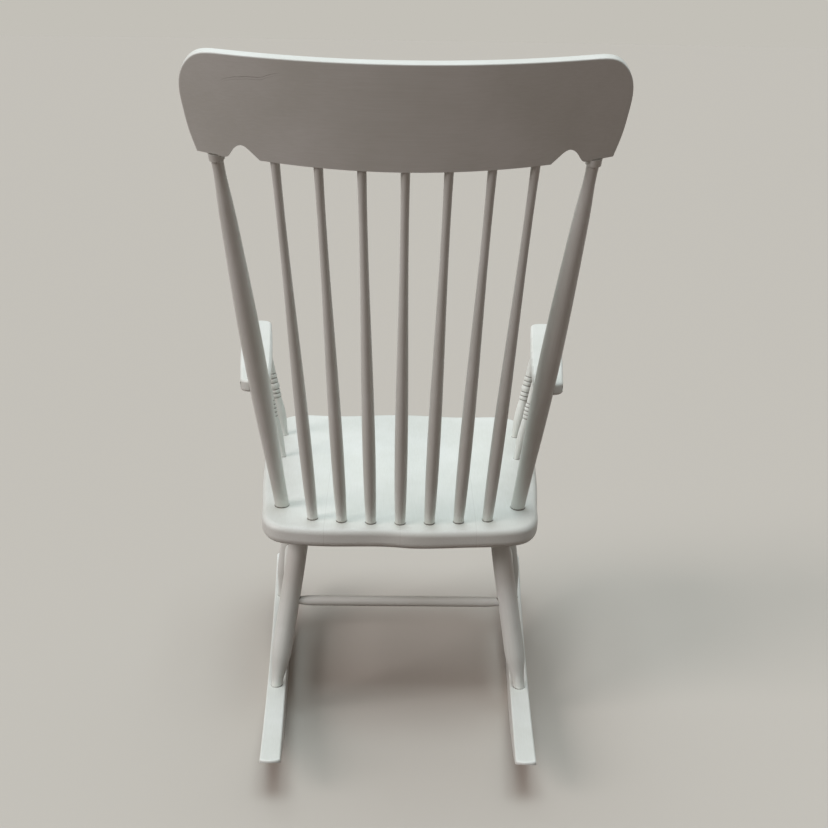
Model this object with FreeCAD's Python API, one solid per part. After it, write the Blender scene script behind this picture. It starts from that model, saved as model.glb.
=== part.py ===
import FreeCAD, Part
import math
import os
from FreeCAD import Placement, Rotation, Vector

# Painted wooden comb-back rocking chair, in millimetres.
# +Z is up, the sitter faces -Y and the sitter's left hand is at +X.
# While the chair is built, Y is 0 at the middle of the seat's rear edge. "forward" is the
# level distance in front of that edge and "side" the distance from the chair's centre line.
# At the end the whole chair is moved so that the origin is the middle of its footprint.

# Fits: glue room round a tenon, room at the blind end of a socket, overrun of every cut
glue_gap = 0.2
end_gap = 1.0
overrun = 30.0

# Seat: one thick plank, tilted back, with a saddled top
seat_rear_height = 373.0
seat_tilt = 6.3
seat_thickness = 36.0
seat_depth = 504.0
seat_half_width = 253.5
seat_rear_bow = 7.0
seat_top_round = 10.0
seat_bottom_round = 13.0
seat_outline_shares = [(0.44, 0.004), (0.71, 0.016), (0.865, 0.047), (0.925, 0.105),
                       (0.942, 0.19), (0.964, 0.31), (0.986, 0.47), (1.0, 0.65),
                       (0.997, 0.79), (0.965, 0.915), (0.86, 0.974), (0.62, 0.99), (0.32, 0.996)]

# Saddle: one broad basin and two thigh hollows that run out through the front edge
basin_depth = 9.0
basin_forward = 222.0
basin_half_width = 192.0
basin_half_length = 150.0
thigh_depth = 4.6
thigh_side = 102.0
thigh_forward = 356.0
thigh_half_width = 92.0
thigh_half_length = 222.0

# Back: the middle spindle sets how long the back is and how far it leans
spindle_count = 7
back_lean = 19.4
middle_spindle_length = 651.0
spindle_foot_forward = 25.0
spindle_foot_spacing = 49.5
spindle_foot_curve = 14.0
spindle_head_inset = 20.5
spindle_radius = 10.6
spindle_tenon = 22.0
spindle_shares = [(0, 0.83), (0.276, 1.0), (0.45, 0.9), (0.62, 0.74), (1, 0.645)]

# Back posts: stouter turnings either side of the spindles, with a collar under the crest
post_foot_side = 204.0
post_foot_forward = 87.0
post_head_inset = 45.0
post_radius = 17.1
post_shares = [(0, 0.71), (0.14, 0.79), (0.27, 0.92), (0.42, 1.0), (0.62, 0.94), (0.8, 0.77),
               (0.89, 0.64), (0.94, 0.53)]
post_collar_radius = 11.6
post_collar_height = 13.0
post_crest_tenon_radius = 5.5
post_crest_tenon = 24.0
post_seat_tenon = 24.0

# Crest rail: a wide board, bent so that its ends come forward
crest_half_width = 314.5
crest_height = 157.5
crest_thickness = 16.5
crest_bend_radius = 1059.0
crest_edge_round = 2.0
crest_bottom_rise = 6.0
notch_inner_inset = 109.5
notch_top_height = 26.5
lobe_inset = 58.5
lobe_height = 6.0
crest_corner_inset = 18.5
crest_corner_height = 9.8
crest_shoulder_inset = 56.5
notch_shares = [(0.25, 0.6), (0.51, 1.0), (0.76, 0.57)]
flank_shares = [(0.49, 0.25), (0.83, 0.46), (1.0, 0.64), (0.745, 0.81), (-0.105, 0.945)]

# Arms: flat boards notched round the back posts
arm_top_height = 631.0
arm_thickness = 20.0
arm_front_forward = 432.0
arm_rear_overhang = 1.0
arm_rear_inner_reach = 15.0
arm_rear_inner_forward = 15.4
arm_rear_outer_reach = 31.5
arm_front_inner_side = 250.0
arm_front_outer_side = 303.0
arm_inner_hollow = 3.0
arm_outer_bulge = 2.5
arm_corner_round = 20.0
arm_rear_corner_round = 18.0
arm_edge_round = 5.0

# Turned supports under each arm: a vase, a row of beads and a neck
arm_post_foot_side = 223.0
arm_post_foot_forward = 387.0
arm_post_head_side = 263.0
arm_post_head_forward = 394.0
arm_post_radius = 10.5
arm_post_bead_shares = [(0.04, 0.95), (0.04, 0.95), (0.065, 1.0), (0.045, 0.92), (0.045, 0.9)]
arm_spindle_foot_side = 218.0
arm_spindle_foot_forward = 286.0
arm_spindle_head_side = 260.0
arm_spindle_head_forward = 290.0
arm_spindle_radius = 8.6
arm_spindle_bead_shares = [(0.035, 0.9), (0.035, 0.96), (0.035, 0.96), (0.035, 0.9)]
arm_tenon = 13.0
arm_seat_tenon = 22.0
vase_shares = [(0, 0.6), (0.05, 0.66), (0.11, 0.83), (0.2, 1.0), (0.29, 0.97), (0.38, 0.8)]
neck_shares = [(0, 0.8), (0.25, 0.82), (0.47, 0.75), (0.7, 0.56), (1, 0.57)]

# Screws that hold the arms to the back posts, under wooden plugs
arm_screw_radius = 2.0
arm_screw_head_radius = 3.4
arm_screw_head_height = 2.6
arm_screw_length = 28.0
arm_screw_forward = 10.0
arm_plug_radius = 4.0
arm_plug_depth = 6.0

# Rockers: sawn runners whose undersides sweep up to thin, bowed tips
rocker_radius = 1067.0
rocker_depth = 55.0
rocker_width = 33.0
rocker_front_reach = 416.0
rocker_rear_reach = 378.0
rocker_front_tip = 15.5
rocker_rear_tip = 8.0
rocker_nose = 4.5
rocker_nose_length = 55.0
rocker_end_bow = 4.5
rocker_corner_round = 5.0
rocker_low_forward = 142.0
rocker_low_side = 220.0
rocker_toe_out = 2.85
rocker_wear_flat = 60.0
rocker_edge_round = 3.0

# Legs: turned clubs that swell downwards and end in a small foot
rear_leg_foot_forward = 49.0
rear_leg_head_forward = 78.0
rear_leg_head_side = 171.0
front_leg_foot_forward = 400.0
front_leg_head_forward = 352.0
front_leg_head_side = 190.0
leg_radius = 17.6
leg_shares = [(0, 0.54), (0.05, 0.6), (0.085, 0.68), (0.135, 0.82), (0.195, 0.965), (0.27, 1.0),
              (0.5, 0.985), (0.75, 0.985), (1, 0.87)]
leg_seat_tenon_radius = 12.5
leg_seat_tenon = 24.0
leg_rocker_tenon = 24.0

# Wooden pins that lock the feet of the legs in the rockers
rocker_pin_radius = 3.0
rocker_pin_length = 28.0
rocker_pin_drop = 12.0

# Stretchers: plain turned rails between the legs
stretcher_radius = 8.9
stretcher_end_radius = 6.8
stretcher_tenon = 13.0
stretcher_taper = 30.0
rear_stretcher_height = 213.0
front_stretcher_height = 226.0
side_stretcher_rear_height = 176.0
side_stretcher_front_height = 190.0

seat_slope = math.tan(math.radians(seat_tilt))
seat_place = Placement(Vector(0, 0, seat_rear_height), Rotation(Vector(1, 0, 0), -seat_tilt))
arm_underside = arm_top_height - arm_thickness
notch_inner_side = crest_half_width - notch_inner_inset
lobe_side = crest_half_width - lobe_inset
crest_corner_side = crest_half_width - crest_corner_inset
parts = {}


def on_seat(side, forward):
    """A point on the flat rim of the seat's top face."""
    return Vector(side, -forward, seat_rear_height + forward * seat_slope)


def under_seat(side, forward):
    """A point on the seat's underside."""
    lower = seat_thickness / math.cos(math.radians(seat_tilt))
    return on_seat(side, forward) - Vector(0, 0, lower)


def between(start, end, share):
    """The point that lies this share of the way from start to end."""
    return start + (end - start) * share


def at_height(start, end, height):
    """The point of a line that lies at this height above the floor."""
    return between(start, end, (height - start.z) / (end.z - start.z))


def mirrored(solid):
    """The same piece for the other side of the chair."""
    return solid.mirror(Vector(0, 0, 0), Vector(1, 0, 0))


def lathe_edge(points):
    """One run of a turning's outline: a line, an arc through three points or a smooth curve."""
    places = [Vector(radius, 0, along) for along, radius in points]
    if len(places) == 2:
        return Part.LineSegment(*places).toShape()
    if len(places) == 3:
        return Part.Arc(*places).toShape()
    curve = Part.BSplineCurve()
    curve.interpolate(places)
    return curve.toShape()


def swept(shares, length, radius):
    """The (along, radius) points of one run, from its shares of a length and of a radius."""
    return [(length * along, radius * out) for along, out in shares]


def level(start, end, radius):
    """A run of one radius."""
    return [(start, radius), (end, radius)]


def turned(runs, foot, head):
    """Turns runs of (along, radius) points about the line from foot to head."""
    low, high = runs[0][0], runs[-1][-1]
    closing = [[high, (high[0], 0)], [(high[0], 0), (low[0], 0)], [(low[0], 0), low]]
    outline = Part.Wire([lathe_edge(run) for run in runs + closing])
    solid = Part.Face(outline).revolve(Vector(0, 0, 0), Vector(0, 0, 1), 360)
    solid.Placement = Placement(foot, Rotation(Vector(0, 0, 1), head - foot))
    return solid


def rod(start, end, radius):
    """A plain round rod from start to end."""
    return Part.makeCylinder(radius, (end - start).Length, start, end - start)


def socket(mouth, inside, radius, depth):
    """The hole that takes a round tenon: it starts above the mouth and ends blind."""
    along = (inside - mouth).normalize()
    return rod(mouth - along * overrun, mouth + along * (depth + end_gap), radius + glue_gap)


# Crest rail: its frame stands on the head of the middle spindle and leans with the back.
# In that frame X is across, Y is towards the rear and Z is up the board.
middle_foot = on_seat(0, spindle_foot_forward)
back_rise = Rotation(Vector(1, 0, 0), -back_lean)
crest_base = middle_foot + back_rise.multVec(Vector(0, 0, middle_spindle_length))
crest_place = Placement(crest_base, back_rise)


def crest_bottom(side):
    """Height of the crest's lower edge above its middle, between the notches."""
    return crest_bottom_rise * (side / notch_inner_side) ** 2


def crest_point(side, height):
    """A point half way through the bent board."""
    bend = crest_bend_radius - math.sqrt(crest_bend_radius ** 2 - side ** 2)
    return crest_place.multVec(Vector(side, -bend, height))


def smooth(points, start, end):
    """A smooth curve through points, with its directions at the start and the end."""
    curve = Part.BSplineCurve()
    curve.interpolate(points, InitialTangent=start, FinalTangent=end)
    return curve.toShape()


def crest_outline():
    """The left half of the board's outline: lower edge, notch, lobe, flank and shoulder."""
    half = notch_inner_side / 2
    inner = Vector(notch_inner_side, 0, crest_bottom_rise)
    rise = Part.Arc(Vector(0, 0, 0), Vector(half, 0, crest_bottom(half)), inner).toShape()
    lobe = Vector(lobe_side, 0, lobe_height)
    corner = Vector(crest_corner_side, 0, crest_corner_height)
    wide, deep = lobe_side - notch_inner_side, notch_top_height - lobe_height
    arch = [inner + Vector(wide * across, 0, deep * up) for across, up in notch_shares]
    notch = smooth([inner] + arch + [lobe], arch[0] - inner, corner - lobe)
    underside = Part.LineSegment(lobe, corner).toShape()
    flank = [corner + Vector(crest_corner_inset * across, 0, crest_height * up - corner.z)
             for across, up in flank_shares]
    shoulder = Vector(crest_half_width - crest_shoulder_inset, 0, crest_height)
    top = Vector(0, 0, crest_height)
    curl = smooth([corner] + flank + [shoulder], flank[0] - corner, top - shoulder)
    return [rise, notch, underside, curl, Part.LineSegment(shoulder, top).toShape()]


def make_crest():
    """The board is sawn to its outline, bent to its radius and its edges are eased."""
    left = crest_outline()
    right = [mirrored(edge) for edge in left]
    outline = Part.Wire(Part.__sortEdges__(left + right))
    depth = crest_height
    sawn = Part.Face(outline).extrude(Vector(0, 2 * depth, 0))
    sawn.translate(Vector(0, -depth, 0))
    centre = Vector(0, -crest_bend_radius, -overrun)
    tall = crest_height + 2 * overrun
    outside = Part.makeCylinder(crest_bend_radius + crest_thickness / 2, tall, centre)
    inside = Part.makeCylinder(crest_bend_radius - crest_thickness / 2, tall, centre)
    board = sawn.common(outside.cut(inside)).removeSplitter()
    rims = [edge for edge in board.Edges
            if edge.Length > crest_thickness * 1.5 and edge.BoundBox.ZMax > crest_height / 2]
    board = board.makeFillet(crest_edge_round, rims)
    board.Placement = crest_place
    return board


# Back spindles: slim turnings with their belly low down
def spindle_ends(index):
    """Foot on the seat and head under the crest of one back spindle."""
    outer_step = (spindle_count - 1) / 2
    step = index - outer_step
    forward = spindle_foot_forward + spindle_foot_curve * (step / outer_step) ** 2
    foot = on_seat(step * spindle_foot_spacing, forward)
    side = (notch_inner_side - spindle_head_inset) * step / outer_step
    return foot, crest_point(side, crest_bottom(side))


def make_spindle(foot, head):
    """A tenon, the bellied shaft and the head, which runs on into the crest."""
    length = (head - foot).Length
    shaft = swept(spindle_shares, length, spindle_radius)
    tenon = level(-spindle_tenon, 0, shaft[0][1])
    peg = level(length, length + spindle_tenon, shaft[-1][1])
    return turned([tenon, shaft, peg], foot, head)


# Back posts
def post_ends():
    """Foot on the seat and head under the crest's lobe of the left back post."""
    share = (lobe_inset - post_head_inset) / (lobe_inset - crest_corner_inset)
    height = lobe_height + (crest_corner_height - lobe_height) * share
    head = crest_point(crest_half_width - post_head_inset, height)
    return on_seat(post_foot_side, post_foot_forward), head


def lobe_block():
    """Everything above the lower edge of the crest's left lobe."""
    rise = crest_corner_height - lobe_height
    slope = math.degrees(math.atan2(rise, crest_corner_side - lobe_side))
    size = 4 * overrun
    block = Part.makeBox(size, size, size, Vector(-size / 2, -size / 2, 0))
    lean = back_rise.multiply(Rotation(Vector(0, 1, 0), -slope))
    block.Placement = Placement(post_ends()[1], lean)
    return block


def make_post():
    """The shaft is cut off flush under the crest, above its collar, and a tenon goes on."""
    foot, head = post_ends()
    length = (head - foot).Length
    shaft = swept(post_shares, length, post_radius)
    neck = shaft[-1][1]
    shaft.append((length - post_collar_height, neck))
    flare = post_collar_radius - neck
    collar_low = length - post_collar_height + flare
    tenon = level(-post_seat_tenon, 0, shaft[0][1])
    cove = [shaft[-1], (collar_low, post_collar_radius)]
    collar = level(collar_low, length + post_collar_height, post_collar_radius)
    post = turned([tenon, shaft, cove, collar], foot, head).cut(lobe_block())
    along = (head - foot).normalize()
    peg = rod(head - along * post_collar_height / 2, head + along * post_crest_tenon,
              post_crest_tenon_radius)
    return post.fuse(peg).removeSplitter().Solids[0]


# Arms
def post_at_arm():
    """The middle of the left back post where it passes through the arm."""
    foot, head = post_ends()
    return at_height(foot, head, arm_top_height - arm_thickness / 2)


def arm_outline():
    """Two long edges sweep outwards to the front, and the rear opens towards the post."""
    post_middle = post_at_arm() - Vector(0, 0, arm_thickness / 2)
    inner_rear = post_middle + Vector(-arm_rear_inner_reach, -arm_rear_inner_forward, 0)
    inner_front = Vector(arm_front_inner_side, -arm_front_forward, arm_underside)
    outer_front = Vector(arm_front_outer_side, -arm_front_forward, arm_underside)
    outer_rear = post_middle + Vector(arm_rear_outer_reach, arm_rear_overhang, 0)
    rear = post_middle + Vector(0, arm_rear_overhang, 0)
    inner_mid = between(inner_rear, inner_front, 0.5) - Vector(arm_inner_hollow, 0, 0)
    outer_mid = between(outer_rear, outer_front, 0.5) + Vector(arm_outer_bulge, 0, 0)
    curves = [
        Part.Arc(inner_rear, inner_mid, inner_front),
        Part.LineSegment(inner_front, outer_front),
        Part.Arc(outer_front, outer_mid, outer_rear),
        Part.LineSegment(outer_rear, rear),
        Part.LineSegment(rear, post_middle),
        Part.LineSegment(post_middle, inner_rear),
    ]
    return Part.Wire([curve.toShape() for curve in curves])


def upright_edge(board, place):
    """The upright edge of the board that stands at this place."""
    return [edge for edge in board.Edges if edge.BoundBox.ZLength > arm_thickness / 2
            and abs(edge.BoundBox.Center.x - place.x) < glue_gap
            and abs(edge.BoundBox.Center.y - place.y) < glue_gap]


def arm_board():
    """The board is sawn out and its corners and edges are rounded."""
    outline = arm_outline()
    inner_rear, inner_front, outer_front, outer_rear = [
        vertex.Point for vertex in outline.OrderedVertexes[:4]]
    board = Part.Face(outline).extrude(Vector(0, 0, arm_thickness))
    front = upright_edge(board, inner_front) + upright_edge(board, outer_front)
    board = board.makeFillet(arm_corner_round, front)
    board = board.makeFillet(arm_rear_corner_round, upright_edge(board, outer_rear))
    rims = [edge for edge in board.Edges
            if edge.BoundBox.ZLength < glue_gap and edge.BoundBox.YMin < inner_rear.y - glue_gap
            and edge.BoundBox.YMax < outer_rear.y - glue_gap]
    return board.makeFillet(arm_edge_round, rims)


def make_arm():
    """The rounded board is notched round the post and bored."""
    board = arm_board()
    foot, head = post_ends()
    low = at_height(foot, head, arm_underside - overrun)
    high = at_height(foot, head, arm_top_height + overrun)
    board = board.cut(rod(low, high, post_radius + glue_gap))
    for foot, head, radius, bead_shares in arm_supports():
        board = board.cut(socket(head, head + (head - foot), radius * neck_shares[-1][1], arm_tenon))
    for hole in arm_screw_holes():
        board = board.cut(hole)
    return board.Solids[0]


def arm_supports():
    """Foot, head, greatest radius and beads of the arm post and of the arm spindle."""
    post_foot = on_seat(arm_post_foot_side, arm_post_foot_forward)
    post_head = Vector(arm_post_head_side, -arm_post_head_forward, arm_underside)
    spindle_foot = on_seat(arm_spindle_foot_side, arm_spindle_foot_forward)
    spindle_head = Vector(arm_spindle_head_side, -arm_spindle_head_forward, arm_underside)
    return [
        (post_foot, post_head, arm_post_radius, arm_post_bead_shares),
        (spindle_foot, spindle_head, arm_spindle_radius, arm_spindle_bead_shares),
    ]


def make_arm_turning(foot, head, radius, bead_shares):
    """A vase below, a row of beads with a groove between each two, and a neck above."""
    length = (head - foot).Length
    vase = swept(vase_shares, length, radius)
    runs = [level(-arm_seat_tenon, 0, vase[0][1]), vase]
    low, groove = vase[-1]
    for tall, wide in bead_shares:
        high = low + length * tall
        runs.append([(low, groove), ((low + high) / 2, radius * wide), (high, groove)])
        low = high
    neck = [(low + along, out) for along, out in swept(neck_shares, length - low, radius)]
    return turned(runs + [neck, level(length, length + arm_tenon, neck[-1][1])], foot, head)


def arm_screw_line():
    """Where the arm screw enters the arm's outer edge, and the way it runs into the post."""
    target = post_at_arm() - Vector(0, arm_screw_forward, 0)
    mouth = target + Vector(arm_rear_outer_reach, 0, 0)
    return mouth, (target - mouth).normalize()


def arm_screw_holes():
    """The plugged counterbore and the clearance hole for the screw."""
    mouth, along = arm_screw_line()
    bottom = mouth + along * (arm_plug_depth + arm_screw_head_height + glue_gap)
    wide = rod(mouth - along * overrun, bottom, arm_plug_radius + glue_gap)
    narrow = rod(mouth, mouth + along * overrun, arm_screw_radius + glue_gap)
    return wide, narrow


def make_arm_screw():
    """A round steel screw with a flat head, hidden under the plug."""
    mouth, along = arm_screw_line()
    seat = mouth + along * arm_plug_depth
    neck = seat + along * arm_screw_head_height
    tip = seat + along * arm_screw_length
    return rod(seat, neck, arm_screw_head_radius).fuse(rod(neck, tip, arm_screw_radius))


def make_arm_plug():
    """The wooden plug, trimmed flush with the arm's rounded corner."""
    mouth, along = arm_screw_line()
    plug = rod(mouth, mouth + along * (arm_plug_depth - glue_gap), arm_plug_radius)
    return plug.common(arm_board()).Solids[0]


# Rockers
def rocker_lower(reach):
    """A point of the runner's lower edge, this far to the rear of its lowest point."""
    return Vector(0, reach, rocker_radius - math.sqrt(rocker_radius ** 2 - reach ** 2))


def rocker_upper(reach):
    """A point of the runner's upper edge: two flatter arcs, level where they meet, one to each tip."""
    tip_reach, tip = rocker_rear_reach, rocker_rear_tip
    if reach < 0:
        tip_reach, tip = rocker_front_reach, rocker_front_tip
    tip_rise = rocker_lower(tip_reach).z + tip - rocker_depth
    radius = (tip_reach ** 2 + tip_rise ** 2) / (2 * tip_rise)
    return Vector(0, reach, rocker_depth + radius - math.sqrt(radius ** 2 - reach ** 2))


def nose_arc(start, end):
    """The arc that leaves the runner's lower edge smoothly at start and sweeps up to end."""
    inward = (Vector(0, 0, rocker_radius) - start).normalize()
    chord = end - start
    centre = start + inward * (chord.dot(chord) / (2 * chord.dot(inward)))
    outward = (start + end - centre * 2).normalize()
    return Part.Arc(start, centre + outward * (start - centre).Length, end)


def rocker_outline():
    """Side view of a runner: wear flat, lower arcs, noses that sweep up to thin tips, upper arcs."""
    flat = rocker_wear_flat / 2
    rear, front = rocker_rear_reach + end_gap, -rocker_front_reach - end_gap
    rear_sweep, front_sweep = rear - rocker_nose_length, front + rocker_nose_length
    rear_nose = rocker_upper(rear) - Vector(0, 0, rocker_nose)
    front_nose = rocker_upper(front) - Vector(0, 0, rocker_nose)
    curves = [
        Part.LineSegment(rocker_lower(-flat), rocker_lower(flat)),
        Part.Arc(rocker_lower(flat), rocker_lower(rear_sweep / 2), rocker_lower(rear_sweep)),
        nose_arc(rocker_lower(rear_sweep), rear_nose),
        Part.LineSegment(rear_nose, rocker_upper(rear)),
        Part.Arc(rocker_upper(rear), rocker_upper(rear / 2), rocker_upper(0)),
        Part.Arc(rocker_upper(0), rocker_upper(front / 2), rocker_upper(front)),
        Part.LineSegment(rocker_upper(front), front_nose),
        nose_arc(rocker_lower(front_sweep), front_nose),
        Part.Arc(rocker_lower(front_sweep), rocker_lower(front_sweep / 2), rocker_lower(-flat)),
    ]
    return Part.Wire([curve.toShape() for curve in curves])


def rocker_plan():
    """A runner seen from above: two straight sides and two bowed ends."""
    side = rocker_width / 2
    rear, front = Vector(0, rocker_rear_reach, 0), Vector(0, -rocker_front_reach, 0)
    rear_left = rear + Vector(side, -rocker_end_bow, 0)
    front_left = front + Vector(side, rocker_end_bow, 0)
    rear_right, front_right = Vector(-side, rear_left.y, 0), Vector(-side, front_left.y, 0)
    curves = [
        Part.LineSegment(front_left, rear_left),
        Part.Arc(rear_left, rear, rear_right),
        Part.LineSegment(rear_right, front_right),
        Part.Arc(front_right, front, front_left),
    ]
    return Part.Wire([curve.toShape() for curve in curves])


def rocker_place():
    """The left runner's place: toed out, with its wear flat on the floor."""
    sunk = rocker_radius - math.sqrt(rocker_radius ** 2 - (rocker_wear_flat / 2) ** 2)
    low = Vector(rocker_low_side, -rocker_low_forward, -sunk)
    return Placement(low, Rotation(Vector(0, 0, 1), rocker_toe_out))


def rocker_top(forward):
    """The middle of the left runner's top edge, this far forward."""
    reach = (forward - rocker_low_forward) / math.cos(math.radians(rocker_toe_out))
    return rocker_place().multVec(rocker_upper(-reach))


def on_rocker_top(edge):
    """Whether this edge runs round the rim of the runner's upper face."""
    middle = edge.valueAt((edge.FirstParameter + edge.LastParameter) / 2)
    across = edge.BoundBox.YLength < glue_gap
    return not across and abs(middle.z - rocker_upper(middle.y).z) < glue_gap


def make_rocker():
    """The runner is sawn out both ways, its edges are eased and it is bored for legs and pins."""
    sawn = Part.Face(rocker_outline()).extrude(Vector(2 * rocker_width, 0, 0))
    sawn.translate(Vector(-rocker_width, 0, 0))
    tall = rocker_upper(-rocker_front_reach).z + overrun
    runner = sawn.common(Part.Face(rocker_plan()).extrude(Vector(0, 0, tall)))
    corners = [edge for edge in runner.Edges if edge.BoundBox.ZLength > rocker_nose
               and edge.BoundBox.XLength < glue_gap and edge.BoundBox.YLength < glue_gap]
    runner = runner.makeFillet(rocker_corner_round, corners)
    rims = [edge for edge in runner.Edges if on_rocker_top(edge)]
    runner = runner.makeFillet(rocker_edge_round, rims)
    runner.Placement = rocker_place()
    for foot, head in (rear_leg_ends(), front_leg_ends()):
        foot_radius = leg_radius * leg_shares[0][1]
        runner = runner.cut(socket(foot, foot - (head - foot), foot_radius, leg_rocker_tenon))
        runner = runner.cut(pin_hole(foot, head))
    return runner.Solids[0]


# Legs
def rear_leg_ends():
    """Foot on the runner and head under the seat of the left rear leg."""
    return rocker_top(rear_leg_foot_forward), under_seat(rear_leg_head_side, rear_leg_head_forward)


def front_leg_ends():
    """Foot on the runner and head under the seat of the left front leg."""
    head = under_seat(front_leg_head_side, front_leg_head_forward)
    return rocker_top(front_leg_foot_forward), head


def seat_block():
    """Everything above the seat's underside."""
    size = 2 * seat_depth
    block = Part.makeBox(size, size, size, Vector(-size / 2, -size * 0.75, -seat_thickness))
    block.Placement = seat_place
    return block


def make_leg(foot, head, stretcher_sockets):
    """The club is cut off flush under the seat, and its tenon goes on into the plank."""
    length = (head - foot).Length
    club = swept(leg_shares, length, leg_radius)
    top_radius = club[-1][1]
    tenon = level(-leg_rocker_tenon, 0, club[0][1])
    leg = turned([tenon, club, level(length, length + leg_radius, top_radius)], foot, head)
    along = (head - foot).normalize()
    peg = rod(head - along * leg_radius, head + along * leg_seat_tenon, leg_seat_tenon_radius)
    leg = leg.cut(seat_block()).fuse(peg).removeSplitter()
    for hole in stretcher_sockets:
        leg = leg.cut(hole)
    return leg.cut(pin_hole(foot, head)).Solids[0]


def pin_line(foot, head):
    """Start and end of the pin that crosses the runner and the foot of one leg."""
    along = (head - foot).normalize()
    middle = foot - along * rocker_pin_drop
    across = rocker_place().Rotation.multVec(Vector(1, 0, 0))
    inner_face = (rocker_place().Base - middle).dot(across) - rocker_width / 2
    start = middle + across * inner_face
    return start, start + across * rocker_pin_length


def pin_hole(foot, head):
    """The cross hole for the pin, open at the runner's inner face."""
    start, end = pin_line(foot, head)
    return socket(start, end, rocker_pin_radius, rocker_pin_length)


# Stretchers
def stretcher_lines():
    """Ends of each stretcher, on the centre lines of the legs that it joins."""
    rear_foot, rear_head = rear_leg_ends()
    front_foot, front_head = front_leg_ends()
    across = {}
    for name, foot, head, height in (("rear", rear_foot, rear_head, rear_stretcher_height),
                                     ("front", front_foot, front_head, front_stretcher_height)):
        left = at_height(foot, head, height)
        across[name] = (Vector(-left.x, left.y, left.z), left)
    side = (at_height(rear_foot, rear_head, side_stretcher_rear_height),
            at_height(front_foot, front_head, side_stretcher_front_height))
    return across["rear"], across["front"], side


def make_stretcher(start, end):
    """A plain rail whose ends thin down to the tenons that enter the legs."""
    length = (end - start).Length
    near, far = leg_radius, length - leg_radius
    shoulder = (stretcher_end_radius + stretcher_radius * 2) / 3
    near_taper = [(near, stretcher_end_radius), (near + stretcher_taper / 3, shoulder),
                  (near + stretcher_taper, stretcher_radius)]
    far_taper = [(far - stretcher_taper, stretcher_radius), (far - stretcher_taper / 3, shoulder),
                 (far, stretcher_end_radius)]
    rail = level(near_taper[-1][0], far_taper[0][0], stretcher_radius)
    near_peg = level(near - stretcher_tenon, near, stretcher_end_radius)
    far_peg = level(far, far + stretcher_tenon, stretcher_end_radius)
    return turned([near_peg, near_taper, rail, far_taper, far_peg], start, end)


def stretcher_socket(start, end):
    """The hole in the leg at the start of a stretcher."""
    mouth = start + (end - start).normalize() * leg_radius
    return socket(mouth, start, stretcher_end_radius, stretcher_tenon)


# Seat
def seat_outline():
    """A shield shape, closed and smooth, a little narrower at the back than at the front."""
    width, depth = seat_half_width, seat_depth
    rear = Vector(0, seat_rear_bow, 0)
    left = [Vector(side * width, seat_rear_bow - forward * depth, 0)
            for side, forward in seat_outline_shares]
    front = Vector(0, seat_rear_bow - depth, 0)
    right = [Vector(-place.x, place.y, 0) for place in reversed(left)]
    curve = Part.BSplineCurve()
    curve.interpolate([rear] + left + [front] + right, PeriodicFlag=True)
    return Part.Wire(curve.toShape())


def dip(distance, reach):
    """A smooth hollow: 1 in its middle and 0 from its reach outwards."""
    return max(0.0, 1 - (distance / reach) ** 2) ** 2


def seat_sink(side, forward):
    """How far the saddle lies below the flat rim."""
    basin = dip(side, basin_half_width) * dip(forward - basin_forward, basin_half_length)
    thigh = dip(abs(side) - thigh_side, thigh_half_width)
    thigh *= dip(forward - thigh_forward, thigh_half_length)
    return basin_depth * basin + thigh_depth * thigh


def saddle_tool():
    """The wood that the saddling takes away above the seat's top face."""
    steps = 16
    grid = []
    for row in range(steps + 1):
        forward = (seat_depth + 2 * overrun) * row / steps - overrun
        line = []
        for column in range(steps + 1):
            side = (seat_half_width + overrun) * (2 * column / steps - 1)
            line.append(Vector(side, -forward, -seat_sink(side, forward)))
        grid.append(line)
    surface = Part.BSplineSurface()
    surface.interpolate(grid)
    return surface.toShape().extrude(Vector(0, 0, seat_thickness))


def make_seat():
    """The plank is sawn out, saddled, rounded at its rims and bored for legs and spindles."""
    blank = Part.Face(seat_outline())
    blank.translate(Vector(0, 0, -seat_thickness))
    plank = blank.extrude(Vector(0, 0, seat_thickness * 1.5)).cut(saddle_tool()).Solids[0]
    for low, high, radius in ((-seat_thickness / 2, overrun, seat_top_round),
                              (-overrun - seat_thickness, -seat_thickness / 2, seat_bottom_round)):
        rim = [edge for edge in plank.Edges if edge.BoundBox.XLength > seat_half_width
               and edge.BoundBox.ZMin > low and edge.BoundBox.ZMax < high]
        plank = plank.makeFillet(radius, rim)
    plank.Placement = seat_place
    for hole in seat_sockets():
        plank = plank.cut(hole)
    return plank.Solids[0]


def seat_sockets():
    """Blind holes for the spindles, posts, arm turnings and legs."""
    holes = []
    for index in range(spindle_count):
        foot, head = spindle_ends(index)
        radius = spindle_radius * spindle_shares[0][1]
        holes.append(socket(foot, foot - (head - foot), radius, spindle_tenon))
    left = []
    foot, head = post_ends()
    left.append(socket(foot, foot - (head - foot), post_radius * post_shares[0][1], post_seat_tenon))
    for foot, head, radius, bead_shares in arm_supports():
        left.append(socket(foot, foot - (head - foot), radius * vase_shares[0][1], arm_seat_tenon))
    for foot, head in (rear_leg_ends(), front_leg_ends()):
        left.append(socket(head, head + (head - foot), leg_seat_tenon_radius, leg_seat_tenon))
    return holes + left + [mirrored(hole) for hole in left]


# Putting the chair together
def add_pair(name, solid):
    """Adds the sitter's left and right copies of one piece."""
    parts["left_" + name] = solid
    parts["right_" + name] = mirrored(solid)


crest = make_crest()
for index in range(spindle_count):
    foot, head = spindle_ends(index)
    parts["back_spindle_%d" % (index + 1)] = make_spindle(foot, head)
    head_radius = spindle_radius * spindle_shares[-1][1]
    crest = crest.cut(socket(head, head + (head - foot), head_radius, spindle_tenon))
foot, head = post_ends()
post_socket = socket(head, head + (head - foot), post_crest_tenon_radius, post_crest_tenon)
crest = crest.cut(post_socket).cut(mirrored(post_socket))
parts["crest_rail"] = crest.Solids[0]

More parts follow.
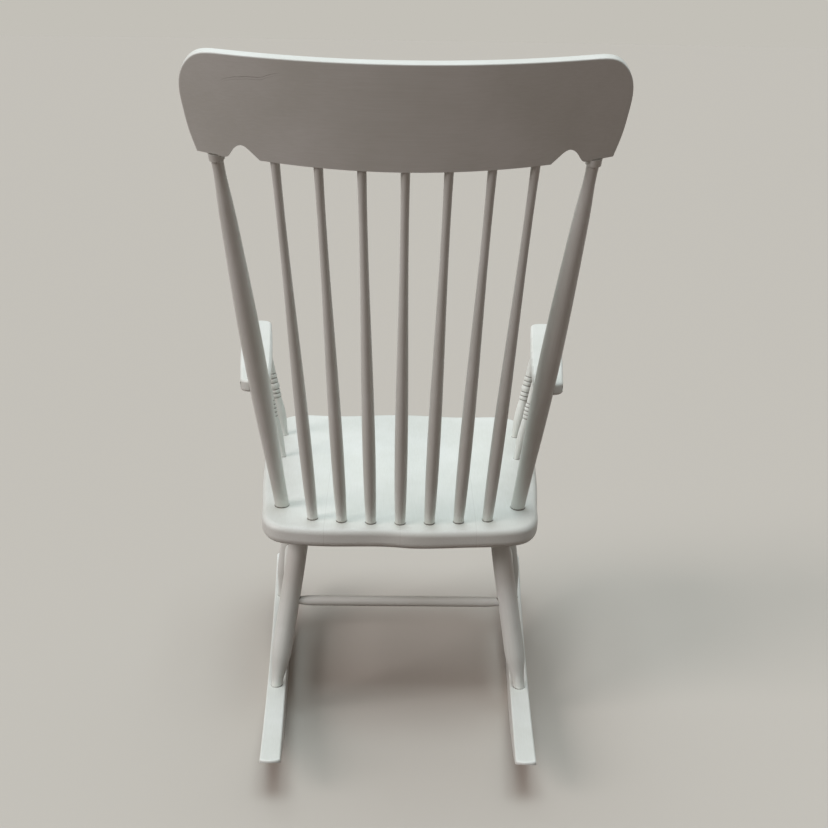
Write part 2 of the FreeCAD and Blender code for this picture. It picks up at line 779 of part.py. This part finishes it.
mouth, along = arm_screw_line()
screw_pilot = rod(mouth, mouth + along * (arm_plug_depth + arm_screw_length + end_gap),
                  arm_screw_radius + glue_gap)
add_pair("back_post", make_post().cut(screw_pilot).Solids[0])
parts["seat"] = make_seat()
add_pair("arm", make_arm())

arm_post, arm_spindle = arm_supports()
add_pair("arm_post", make_arm_turning(*arm_post))
add_pair("arm_spindle", make_arm_turning(*arm_spindle))
screw, plug = make_arm_screw(), make_arm_plug()
parts["arm_screws"] = Part.Compound([screw, mirrored(screw)])
parts["arm_screw_plugs"] = Part.Compound([plug, mirrored(plug)])

rear_line, front_line, side_line = stretcher_lines()
rear_sockets = [stretcher_socket(rear_line[1], rear_line[0]),
                stretcher_socket(side_line[0], side_line[1])]
front_sockets = [stretcher_socket(front_line[1], front_line[0]),
                 stretcher_socket(side_line[1], side_line[0])]
rear_foot, rear_head = rear_leg_ends()
front_foot, front_head = front_leg_ends()
add_pair("rear_leg", make_leg(rear_foot, rear_head, rear_sockets))
add_pair("front_leg", make_leg(front_foot, front_head, front_sockets))
parts["rear_stretcher"] = make_stretcher(*rear_line)
parts["front_stretcher"] = make_stretcher(*front_line)
add_pair("side_stretcher", make_stretcher(*side_line))

add_pair("rocker", make_rocker())
pins = []
for foot, head in (rear_leg_ends(), front_leg_ends()):
    start, end = pin_line(foot, head)
    pin = rod(start, end, rocker_pin_radius)
    pins += [pin, mirrored(pin)]
parts["rocker_pins"] = Part.Compound(pins)

# The origin is the middle of the footprint, on the floor
whole = Part.Compound(list(parts.values())).optimalBoundingBox(False, False)
os.makedirs("parts", exist_ok=True)
for name, shape in parts.items():
    shape.translate(Vector(0, -(whole.YMin + whole.YMax) / 2, 0))
    shape.exportStep(os.path.join("parts", name + ".step"))
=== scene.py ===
import math
import bpy
from mathutils import Matrix, Vector


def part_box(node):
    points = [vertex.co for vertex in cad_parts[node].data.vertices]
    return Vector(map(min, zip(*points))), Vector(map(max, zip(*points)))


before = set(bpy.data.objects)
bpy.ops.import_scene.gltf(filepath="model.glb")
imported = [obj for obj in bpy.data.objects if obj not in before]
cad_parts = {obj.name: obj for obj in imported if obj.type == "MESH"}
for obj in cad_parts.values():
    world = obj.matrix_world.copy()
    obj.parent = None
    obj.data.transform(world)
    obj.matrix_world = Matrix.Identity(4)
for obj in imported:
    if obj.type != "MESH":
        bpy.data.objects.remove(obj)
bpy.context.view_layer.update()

# Rockers: two runners sawn from hardwood plank, their edges eased, that carry the four legs.
# They are brushed with the same satin white enamel as the rest of the chair, and the runners'
# lowest stretch, which rolls on the floor, is rubbed through the paint.
mm = 0.001
rocker_heart = (60 * mm, 35 * mm)

# The enamel's colour drifts a little from patch to patch and with the brush's tracks.
paint_white = "e9ede8"
paint_shade = "dfe3dc"
paint_ior = 1.5
paint_roughness = (0.34, 0.46)
patch_width = 111.1 * mm
track_tone = 0.5
tone_range = (0.55, 0.95)

# Real bristle tracks lie about half a millimetre apart. Here they are coarser, so that they show.
# The growth rings are as wide as those of fast-grown wood, drawn out along the grain.
bristle_track = 2.4 * mm
brush_stroke = 110 * mm
ring_width = 6.5 * mm
ring_draw = 0.05
ring_wander = 5
film_ripple = 3.0 * mm
relief_depth = 0.08 * mm
relief_strength = 0.7
ring_swell = 0.35
film_swell = 0.25

# A nick is a shallow round pit. Most cells of the pattern hold none.
nick_spacing = 46 * mm
nick_radius = 1.6 * mm
nick_rarity = 0.6
nick_depth = 2.5

# Dust and grime, with painted shade, are thickest where the least of the space around is open,
# and end where more is.
crevice_dust_and_shade = "b9b4a7"
dust_and_shade_reach = 5 * mm
dust_and_shade_openness = (0.15, 0.6)
dust_and_shade_cover = 0.75
seam_grime_and_shade = "5e574b"
grime_and_shade_reach = 3.5 * mm
grime_and_shade_openness = (0.33, 0.55)
grime_and_shade_raggedness = 0.36
grime_and_shade_cover = 0.9
openness_rays = 8

# The rubbed paint ends in a ragged edge, at these shares of its height.
bare_wood = "a98a63"
floor_grime = "8d8578"
rub_height = 1.6 * mm
rub_edge = (0.8, 1.1)
rub_patch = 4 * mm


def linear(code):
    """An sRGB hex colour as the linear colour that a shader takes."""
    shares = [int(code[place:place + 2], 16) / 255 for place in (0, 2, 4)]
    return [share / 12.92 if share <= 0.04045 else ((share + 0.055) / 1.055) ** 2.4
            for share in shares] + [1]


def add(tree, kind, inputs, **settings):
    """Adds one shader node with its settings, and gives its inputs their values or links."""
    node = tree.nodes.new("ShaderNode" + kind)
    for name, value in settings.items():
        setattr(node, name, value)
    for place, value in inputs.items():
        if isinstance(value, bpy.types.NodeSocket):
            tree.links.new(value, node.inputs[place])
        else:
            node.inputs[place].default_value = value
    return node


def empty_tree(owner):
    """Gives a new material or world an empty node tree, for add to fill."""
    owner.use_nodes = True
    owner.node_tree.nodes.clear()
    return owner.node_tree


def grain_line(node, axis):
    """The way the grain runs in a long piece: from its low end on this axis to its high end."""
    low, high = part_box(node)
    end_slice = 4 * mm
    places = [vertex.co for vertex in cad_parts[node].data.vertices]
    start = [place for place in places if place[axis] < low[axis] + end_slice]
    end = [place for place in places if place[axis] > high[axis] - end_slice]
    return (sum(end, Vector()) / len(end) - sum(start, Vector()) / len(start)).normalized()


def white_enamel(node, along, heart):
    """Satin alkyd enamel brushed on hardwood: a soft, slightly cool white with a broad sheen.

    Bristle tracks run the way of the grain, the growth rings show through as a faint swell, dust
    and painted shade grey the crevices, grime and painted contact shade draw a thin ragged line
    round each joint, and the odd nick breaks the film. heart is how far the tree's heart lies
    from the middle of the piece, across the grain, which sets how the rings run.
    """
    material = bpy.data.materials.new("white_enamel_" + node)
    tree = empty_tree(material)
    low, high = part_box(node)
    turn = along.rotation_difference(Vector((1, 0, 0)))
    shift = Vector((0, heart[0], heart[1])) - turn @ ((low + high) / 2)
    place = add(tree, "TexCoord", {}).outputs["Object"]
    grain = add(tree, "Mapping", {"Vector": place, "Rotation": turn.to_euler(),
                                  "Location": shift}).outputs["Vector"]

    # Relief: the brush's tracks, the swell of the rings, the ripple of the film and the nicks
    track_scale = (1 / brush_stroke, 1 / bristle_track, 1 / bristle_track)
    brushed = add(tree, "VectorMath", {0: grain, 1: track_scale}, operation="MULTIPLY")
    tracks = add(tree, "TexNoise", {"Vector": brushed.outputs[0], "Scale": 1, "Detail": 3,
                                    "Roughness": 0.6}).outputs["Fac"]
    drawn = add(tree, "VectorMath", {0: grain, 1: (ring_draw, 1, 1)}, operation="MULTIPLY")
    wave_length = 0.314  # how far apart a wave texture's rings lie at a scale of 1
    rings = add(tree, "TexWave", {"Vector": drawn.outputs[0], "Scale": wave_length / ring_width,
                                  "Distortion": ring_wander, "Detail": 2, "Detail Scale": 0.5},
                wave_type="RINGS", rings_direction="X").outputs["Fac"]
    ripple = add(tree, "TexNoise", {"Vector": place, "Scale": 1 / film_ripple,
                                    "Detail": 1}).outputs["Fac"]
    cells = add(tree, "TexVoronoi", {"Vector": place, "Scale": 1 / nick_spacing})
    rare = add(tree, "SeparateColor", {0: cells.outputs["Color"]}).outputs[0]
    nick_size = add(tree, "MapRange", {"Value": rare, "From Min": nick_rarity, "From Max": 1,
                                       "To Min": 0, "To Max": nick_radius / nick_spacing})
    nick = add(tree, "MapRange", {"Value": cells.outputs["Distance"], "From Min": 0,
                                  "From Max": nick_size.outputs[0], "To Min": 1, "To Max": 0})
    swell = add(tree, "Math", {0: rings, 1: ring_swell, 2: tracks}, operation="MULTIPLY_ADD")
    swell = add(tree, "Math", {0: ripple, 1: film_swell, 2: swell.outputs[0]},
                operation="MULTIPLY_ADD")
    height = add(tree, "Math", {0: nick.outputs[0], 1: -nick_depth, 2: swell.outputs[0]},
                 operation="MULTIPLY_ADD")
    bump = add(tree, "Bump", {"Height": height.outputs[0], "Strength": relief_strength,
                              "Distance": relief_depth})

    # Colour: two shades of the film, with dust and painted shade in the crevices, and grime and
    # painted contact shade along the joints
    patches = add(tree, "TexNoise", {"Vector": place, "Scale": 1 / patch_width,
                                     "Detail": 3}).outputs["Fac"]
    tone = add(tree, "Math", {0: tracks, 1: track_tone, 2: patches}, operation="MULTIPLY_ADD")
    tone = add(tree, "MapRange", {"Value": tone.outputs[0], "From Min": tone_range[0],
                                  "From Max": tone_range[1]})
    film = add(tree, "Mix", {0: tone.outputs[0], 6: linear(paint_white), 7: linear(paint_shade)},
               data_type="RGBA").outputs[2]
    # Painted shade, with some dust, greys the crevices where little of the space around is open.
    crevice = add(tree, "AmbientOcclusion", {"Distance": dust_and_shade_reach},
                  samples=openness_rays).outputs["AO"]
    dust_and_shade = add(tree, "MapRange", {"Value": crevice, "From Min": dust_and_shade_openness[0],
                                  "From Max": dust_and_shade_openness[1], "To Min": dust_and_shade_cover,
                                  "To Max": 0})
    dusty_and_shaded = add(tree, "Mix", {0: dust_and_shade.outputs[0], 6: film, 7: linear(crevice_dust_and_shade)},
                data_type="RGBA").outputs[2]
    # Grime and a painted contact shade draw a thin ragged line round each joint.
    seam = add(tree, "AmbientOcclusion", {"Distance": grime_and_shade_reach},
               samples=openness_rays).outputs["AO"]
    ragged = add(tree, "Math", {0: ripple, 1: -grime_and_shade_raggedness, 2: seam},
                 operation="MULTIPLY_ADD")
    grime_and_shade = add(tree, "MapRange", {"Value": ragged.outputs[0], "From Min": grime_and_shade_openness[0],
                                   "From Max": grime_and_shade_openness[1], "To Min": grime_and_shade_cover,
                                   "To Max": 0})
    colour = add(tree, "Mix", {0: grime_and_shade.outputs[0], 6: dusty_and_shaded, 7: linear(seam_grime_and_shade)},
                 data_type="RGBA").outputs[2]
    gloss = add(tree, "MapRange", {"Value": tone.outputs[0], "To Min": paint_roughness[0],
                                   "To Max": paint_roughness[1]})
    shader = add(tree, "BsdfPrincipled", {"Base Color": colour, "Roughness": gloss.outputs[0],
                                          "IOR": paint_ior, "Normal": bump.outputs[0]})
    add(tree, "OutputMaterial", {"Surface": shader.outputs[0]})
    return material


def cover(material, share, shade):
    """Covers this share of a finish's colour with another shade."""
    tree = material.node_tree
    shader = next(node for node in tree.nodes if node.type == "BSDF_PRINCIPLED")
    film = shader.inputs["Base Color"].links[0].from_socket
    colour = add(tree, "Mix", {0: share, 6: film, 7: shade}, data_type="RGBA")
    tree.links.new(colour.outputs[2], shader.inputs["Base Color"])


def dress(node, material):
    """Gives a piece from the frame its finish."""
    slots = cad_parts[node].data.materials
    slots.clear()
    slots.append(material)


def rub_through(material):
    """Wears the paint off a runner's lowest stretch, down to wood that the floor has greyed."""
    tree = material.node_tree
    place = add(tree, "TexCoord", {}).outputs["Object"]
    height = add(tree, "SeparateXYZ", {0: place}).outputs["Z"]
    ragged = add(tree, "TexNoise", {"Vector": place, "Scale": 1 / rub_patch, "Detail": 4})
    edge = add(tree, "Math", {0: ragged.outputs["Fac"], 1: rub_height, 2: height},
               operation="MULTIPLY_ADD")
    worn = add(tree, "MapRange", {"Value": edge.outputs[0], "From Min": rub_edge[0] * rub_height,
                                  "From Max": rub_edge[1] * rub_height, "To Min": 1, "To Max": 0})
    wood = add(tree, "Mix", {0: ragged.outputs["Fac"], 6: linear(bare_wood),
                             7: linear(floor_grime)}, data_type="RGBA")
    cover(material, worn.outputs[0], wood.outputs[2])


for side in ("left", "right"):
    runner = side + "_rocker"
    enamel = white_enamel(runner, grain_line(runner, 1), rocker_heart)
    rub_through(enamel)
    dress(runner, enamel)

# Rocker pins: four birch dowels driven in from the runners' inner faces and painted over.
# They lock the leg feet, and their ends show as faint round marks under the paint.
pin_heart = (9 * mm, 9 * mm)
dress("rocker_pins", white_enamel("rocker_pins", Vector((1, 0, 0)), pin_heart))

# Legs and stretchers: hardwood clubs and rails turned on a lathe, tenoned and glued.
# They are brushed lengthways, so the bristle tracks run from foot to seat and from leg to leg.
leg_heart = (55 * mm, 20 * mm)
side_rail_heart = (30 * mm, 18 * mm)
cross_rail_heart = (24 * mm, 30 * mm)
for side in ("left", "right"):
    for leg in (side + "_rear_leg", side + "_front_leg"):
        dress(leg, white_enamel(leg, grain_line(leg, 2), leg_heart))
    rail = side + "_side_stretcher"
    dress(rail, white_enamel(rail, grain_line(rail, 1), side_rail_heart))
for rail in ("rear_stretcher", "front_stretcher"):
    dress(rail, white_enamel(rail, Vector((1, 0, 0)), cross_rail_heart))

# Seat: a thick plank glued up from four boards, saddled with a scraper and rounded at its rims.
# The grain runs from back to front, and the glue lines just show through the enamel.
seat_heart = (40 * mm, 120 * mm)
board_width = 128 * mm
glue_line_width = 0.9 * mm
glue_line_shade = "9d9a8f"
glue_line_cover = 0.2


def draw_glue_lines(material):
    """Draws the faint lines where the plank's boards meet, the middle one on its centre line."""
    tree = material.node_tree
    place = add(tree, "TexCoord", {}).outputs["Object"]
    side = add(tree, "SeparateXYZ", {0: place}).outputs["X"]
    gap = add(tree, "Math", {0: side, 1: board_width / 2}, operation="PINGPONG")
    line = add(tree, "MapRange", {"Value": gap.outputs[0], "From Min": 0,
                                  "From Max": glue_line_width, "To Min": glue_line_cover,
                                  "To Max": 0})
    cover(material, line.outputs[0], linear(glue_line_shade))


enamel = white_enamel("seat", Vector((0, 1, 0)), seat_heart)
draw_glue_lines(enamel)
dress("seat", enamel)

# Back spindles and posts: lathe turnings glued into the seat and the crest rail.
# They are brushed lengthways like the legs. Painted shade darkens the shoulder of each post's
# collar, where it stands proud of the crest rail above it.
spindle_count = 7
first_heart = 18 * mm
heart_step = 5 * mm
turning_heart = 22 * mm
back_lean = math.radians(19.4)
shoulder_painted_shade = "59534a"
shoulder_shade_cover = 0.75
shoulder_slant = (0.6, 0.8)


def shade_shoulder(material):
    """Paints shade on the sawn shoulder that faces up the back, from one slant of its face to the
    next.
    """
    tree = material.node_tree
    up_back = (0, math.sin(back_lean), math.cos(back_lean))
    way = add(tree, "NewGeometry", {}).outputs["True Normal"]
    facing = add(tree, "VectorMath", {0: way, 1: up_back}, operation="DOT_PRODUCT")
    shoulder = add(tree, "MapRange", {"Value": facing.outputs["Value"],
                                      "From Min": shoulder_slant[0],
                                      "From Max": shoulder_slant[1], "To Min": 0,
                                      "To Max": shoulder_shade_cover})
    cover(material, shoulder.outputs[0], linear(shoulder_painted_shade))


turnings = ["back_spindle_%d" % number for number in range(1, spindle_count + 1)]
turnings += ["left_back_post", "right_back_post"]
for number, turning in enumerate(turnings):
    heart = (first_heart + heart_step * number, turning_heart)
    enamel = white_enamel(turning, grain_line(turning, 2), heart)
    if turning.endswith("post"):
        # The collar's shoulder gets painted shade.
        shade_shoulder(enamel)
    dress(turning, enamel)

# Crest rail: a board sawn to its outline, steamed and bent, with its edges rounded over.
# The grain runs across the chair. A drying check in the wood has cracked the enamel of the rear
# face near its upper left corner, and it is drawn as a line that wanders with the grain.
crest_heart = (30 * mm, 150 * mm)
board_base = Vector((0, 344.61, 989.8)) * mm
check_start = 168 * mm
check_end = 257.4 * mm
check_low = 115 * mm
check_rise = 25 * mm
check_line = ((0, 0.86), (0.2, 0.72), (0.36, 0.51), (0.55, 0.49), (0.75, 0.4), (1, 0.06))
check_half_width = 0.75 * mm
check_wander = 2.2 * mm
wander_length = 9 * mm
check_shade = "6b645a"
strands = ((0, 0.62), (3.4 * mm, 0.3))
rear_facing = 0.5


def draw_check(material):
    """Draws the hairline check on the board's rear face, with a fainter strand below it.

    Its height is measured up the leaning board from board_base. check_line gives that height, as
    a share of check_rise above check_low, at shares of the line's length, and each strand has
    its drop below the line and its depth of shade.
    """
    tree = material.node_tree
    place = add(tree, "TexCoord", {}).outputs["Object"]
    side = add(tree, "SeparateXYZ", {0: place}).outputs["X"]
    risen = add(tree, "VectorMath", {0: place, 1: board_base}, operation="SUBTRACT")
    up_board = (0, math.sin(back_lean), math.cos(back_lean))
    height = add(tree, "VectorMath", {0: risen.outputs[0], 1: up_board}, operation="DOT_PRODUCT")
    share = add(tree, "MapRange", {"Value": side, "From Min": check_start, "From Max": check_end})
    curve = add(tree, "FloatCurve", {"Value": share.outputs[0]})
    line = curve.mapping.curves[0]
    line.points[0].location = check_line[0]
    line.points[1].location = check_line[-1]
    for point in check_line[1:-1]:
        line.points.new(*point)
    curve.mapping.update()
    level = add(tree, "Math", {0: curve.outputs[0], 1: check_rise, 2: check_low},
                operation="MULTIPLY_ADD")
    wander = add(tree, "TexNoise", {"Vector": place, "Scale": 1 / wander_length, "Detail": 2})
    level = add(tree, "Math", {0: wander.outputs["Fac"], 1: check_wander, 2: level.outputs[0]},
                operation="MULTIPLY_ADD")
    gap = add(tree, "Math", {0: height.outputs["Value"], 1: level.outputs[0]},
              operation="SUBTRACT")

    # The line is widest half way along, where share times rest is a quarter, and fades out at
    # both ends.
    rest = add(tree, "Math", {0: 1, 1: share.outputs[0]}, operation="SUBTRACT")
    taper = add(tree, "Math", {0: share.outputs[0], 1: rest.outputs[0]}, operation="MULTIPLY")
    width = add(tree, "Math", {0: taper.outputs[0], 1: 4 * check_half_width},
                operation="MULTIPLY")
    crack = None
    for drop, depth in strands:
        off = add(tree, "Math", {0: gap.outputs[0], 1: drop}, operation="ADD")
        off = add(tree, "Math", {0: off.outputs[0]}, operation="ABSOLUTE")
        strand = add(tree, "MapRange", {"Value": off.outputs[0], "From Min": 0,
                                        "From Max": width.outputs[0], "To Min": depth,
                                        "To Max": 0})
        if crack:
            strand = add(tree, "Math", {0: strand.outputs[0], 1: crack.outputs[0]},
                         operation="MAXIMUM")
        crack = strand
    faces = add(tree, "SeparateXYZ", {0: add(tree, "NewGeometry", {}).outputs["Normal"]})
    rear = add(tree, "Math", {0: faces.outputs["Y"], 1: rear_facing}, operation="GREATER_THAN")
    crack = add(tree, "Math", {0: crack.outputs[0], 1: rear.outputs[0]}, operation="MULTIPLY")
    cover(material, crack.outputs[0], linear(check_shade))


enamel = white_enamel("crest_rail", Vector((1, 0, 0)), crest_heart)
draw_check(enamel)
dress("crest_rail", enamel)

# Arms and their turned supports: flat boards notched round the back posts, each carried by a
# beaded post and a slimmer beaded spindle, all glued and brushed with the same enamel.
# The grooves between the beads are darkened with painted shade, and show as dark rings.
arm_heart = (26 * mm, 80 * mm)
support_heart = (21 * mm, 15 * mm)
seat_tenon = 22 * mm
arm_tenon = 13 * mm
post_grooves = (0.38, 0.42, 0.46, 0.525, 0.57, 0.615)
spindle_grooves = (0.38, 0.415, 0.45, 0.485, 0.52)
groove_width = 1.5 * mm
groove_core = 0.3 * mm
groove_painted_shade = "5a5348"
groove_shade_cover = 0.75


def shade_grooves(material, node, along, grooves):
    """Paints shade into the grooves of a beaded turning, at these shares of its length above the
    seat.
    """
    tree = material.node_tree
    places = [vertex.co.dot(along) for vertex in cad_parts[node].data.vertices]
    low, high = min(places) + seat_tenon, max(places) - arm_tenon
    place = add(tree, "TexCoord", {}).outputs["Object"]
    reach = add(tree, "VectorMath", {0: place, 1: along}, operation="DOT_PRODUCT")
    nearest = None
    for groove in grooves:
        middle = low + (high - low) * groove
        gap = add(tree, "Math", {0: reach.outputs["Value"], 1: middle}, operation="SUBTRACT")
        gap = add(tree, "Math", {0: gap.outputs[0]}, operation="ABSOLUTE")
        if nearest:
            gap = add(tree, "Math", {0: gap.outputs[0], 1: nearest.outputs[0]},
                      operation="MINIMUM")
        nearest = gap
    groove_shade = add(tree, "MapRange", {"Value": nearest.outputs[0], "From Min": groove_core,
                                  "From Max": groove_width, "To Min": groove_shade_cover, "To Max": 0})
    cover(material, groove_shade.outputs[0], linear(groove_painted_shade))


for side in ("left", "right"):
    arm = side + "_arm"
    dress(arm, white_enamel(arm, grain_line(arm, 1), arm_heart))
    for support, grooves in ((side + "_arm_post", post_grooves),
                             (side + "_arm_spindle", spindle_grooves)):
        along = grain_line(support, 2)
        enamel = white_enamel(support, along, support_heart)
        # The grooves get painted shade as dark rings.
        shade_grooves(enamel, support, along, grooves)
        dress(support, enamel)

# Arm screws and plugs: a steel wood screw holds each arm to its post, under a wooden plug that
# is pared flush and painted over. The screws are plain steel, a little stained, and the fine
# rings that the turning tool left on them break up their glints.
plug_heart = (7 * mm, 9 * mm)
screw_steel = "9b9b9d"
screw_stain = "6e6c68"
screw_roughness = (0.28, 0.5)
stain_width = 3 * mm
turning_mark = 0.35 * mm
mark_length = 16.67 * mm
mark_depth = 0.03 * mm
mark_strength = 0.4
dress("arm_screw_plugs", white_enamel("arm_screw_plugs", Vector((0, 0, 1)), plug_heart))
steel = bpy.data.materials.new("brushed_screw_steel")
tree = empty_tree(steel)
place = add(tree, "TexCoord", {}).outputs["Object"]
mark_scale = (1 / turning_mark, 1 / mark_length, 1 / mark_length)
drawn = add(tree, "VectorMath", {0: place, 1: mark_scale}, operation="MULTIPLY")
marks = add(tree, "TexNoise", {"Vector": drawn.outputs[0], "Scale": 1, "Detail": 2})
stains = add(tree, "TexNoise", {"Vector": place, "Scale": 1 / stain_width, "Detail": 3})
tint = add(tree, "Mix", {0: stains.outputs["Fac"], 6: linear(screw_steel),
                         7: linear(screw_stain)}, data_type="RGBA")
gloss = add(tree, "MapRange", {"Value": marks.outputs["Fac"], "To Min": screw_roughness[0],
                               "To Max": screw_roughness[1]})
relief = add(tree, "Bump", {"Height": marks.outputs["Fac"], "Strength": mark_strength,
                            "Distance": mark_depth})
shader = add(tree, "BsdfPrincipled", {"Base Color": tint.outputs[2], "Metallic": 1,
                                      "Roughness": gloss.outputs[0],
                                      "Normal": relief.outputs[0]})
add(tree, "OutputMaterial", {"Surface": shader.outputs[0]})
dress("arm_screws", steel)

# Floor: plain pale studio paper, matt, and large enough to reach the horizon. What it throws
# back on the chair is darker and warmer than what the camera sees, so that the chair's rear
# stays in soft shade.
floor_colour = "c6c1b8"
floor_bounce = "5b4a43"
floor_reach = 60
floor_corners = 96


def looked_at(tree):
    """1 where the camera, a gloss or a glass looks at a thing, and 0 where it lights others."""
    ray = add(tree, "LightPath", {}).outputs
    seen = add(tree, "Math", {0: ray["Is Camera Ray"], 1: ray["Is Glossy Ray"]},
               operation="MAXIMUM")
    return add(tree, "Math", {0: seen.outputs[0], 1: ray["Is Transmission Ray"]},
               operation="MAXIMUM").outputs[0]


bpy.ops.object.select_all(action="DESELECT")
bpy.ops.mesh.primitive_circle_add(vertices=floor_corners, radius=floor_reach, fill_type="NGON")
floor = bpy.context.object
floor.name = "floor"
paper = bpy.data.materials.new("studio_paper")
tree = empty_tree(paper)
tint = add(tree, "Mix", {0: looked_at(tree), 6: linear(floor_bounce), 7: linear(floor_colour)},
           data_type="RGBA")
matt = add(tree, "BsdfDiffuse", {"Color": tint.outputs[2]})
add(tree, "OutputMaterial", {"Surface": matt.outputs[0]})
floor.data.materials.append(paper)

# Studio light: a broad lamp overhead, weaker ones from beyond the chair's front and from its left
# rear, and a sky that is brighter overhead than at the horizon, as under a lit ceiling.

# Each lamp has its strength, its height, heading and breadth in degrees, and its colour. It shines
# from the chair's front at a heading of 0, from its left at 90 and from its rear at 180.
lamps = {
    "overhead_lamp": (1.52, 80, 175, 40, "e8f8ff"),
    "front_lamp": (0.35, 55, 15, 36, "e8f8ff"),
    "side_lamp": (1.3, 30, 116, 28, "fff5f5"),
}
sky_overhead = 0.5
sky_horizon = 0.05
sky_colour = "f1e4de"
backdrop_colour = "c3c0b8"
for name, (strength, height, heading, breadth, colour) in lamps.items():
    lamp = bpy.data.objects.new(name, bpy.data.lights.new(name, "SUN"))
    lamp.data.energy = strength
    lamp.data.angle = math.radians(breadth)
    lamp.data.color = linear(colour)[:3]
    lamp.rotation_euler = (math.radians(90 - height), 0, math.radians(heading))
    bpy.context.scene.collection.objects.link(lamp)
world = bpy.data.worlds.new("studio")
bpy.context.scene.world = world
tree = empty_tree(world)
way = add(tree, "SeparateXYZ", {0: add(tree, "TexCoord", {}).outputs["Generated"]})
level = add(tree, "MapRange", {"Value": way.outputs["Z"], "From Min": 0, "From Max": 1,
                               "To Min": sky_horizon, "To Max": sky_overhead})
sky = add(tree, "Background", {"Color": linear(sky_colour), "Strength": level.outputs[0]})
backdrop = add(tree, "Background", {"Color": linear(backdrop_colour), "Strength": 1})
both = add(tree, "MixShader", {0: looked_at(tree), 1: sky.outputs[0], 2: backdrop.outputs[0]})
add(tree, "OutputWorld", {"Surface": both.outputs[0]})

# Camera: behind the chair and a little above its crest, as the photograph was taken. Its place
# and turns, in metres and degrees, and its lens, in millimetres, put the chair where it is there.
camera_place = Vector((0.01297, 2.24503, 1.20195))
camera_pitch = 16.679
camera_roll = 0.89
camera_yaw = 0.911
lens_length = 58.24
film_width = 36
camera = bpy.data.objects.new("camera", bpy.data.cameras.new("camera"))
camera.data.lens = lens_length
camera.data.sensor_width = film_width
camera.matrix_world = (Matrix.Translation(camera_place)
                       @ Matrix.Rotation(math.radians(180 - camera_yaw), 4, "Z")
                       @ Matrix.Rotation(math.radians(90 - camera_pitch), 4, "X")
                       @ Matrix.Rotation(math.radians(camera_roll), 4, "Z"))
bpy.context.scene.collection.objects.link(camera)
bpy.context.scene.camera = camera
bpy.context.scene.view_settings.view_transform = "Standard"
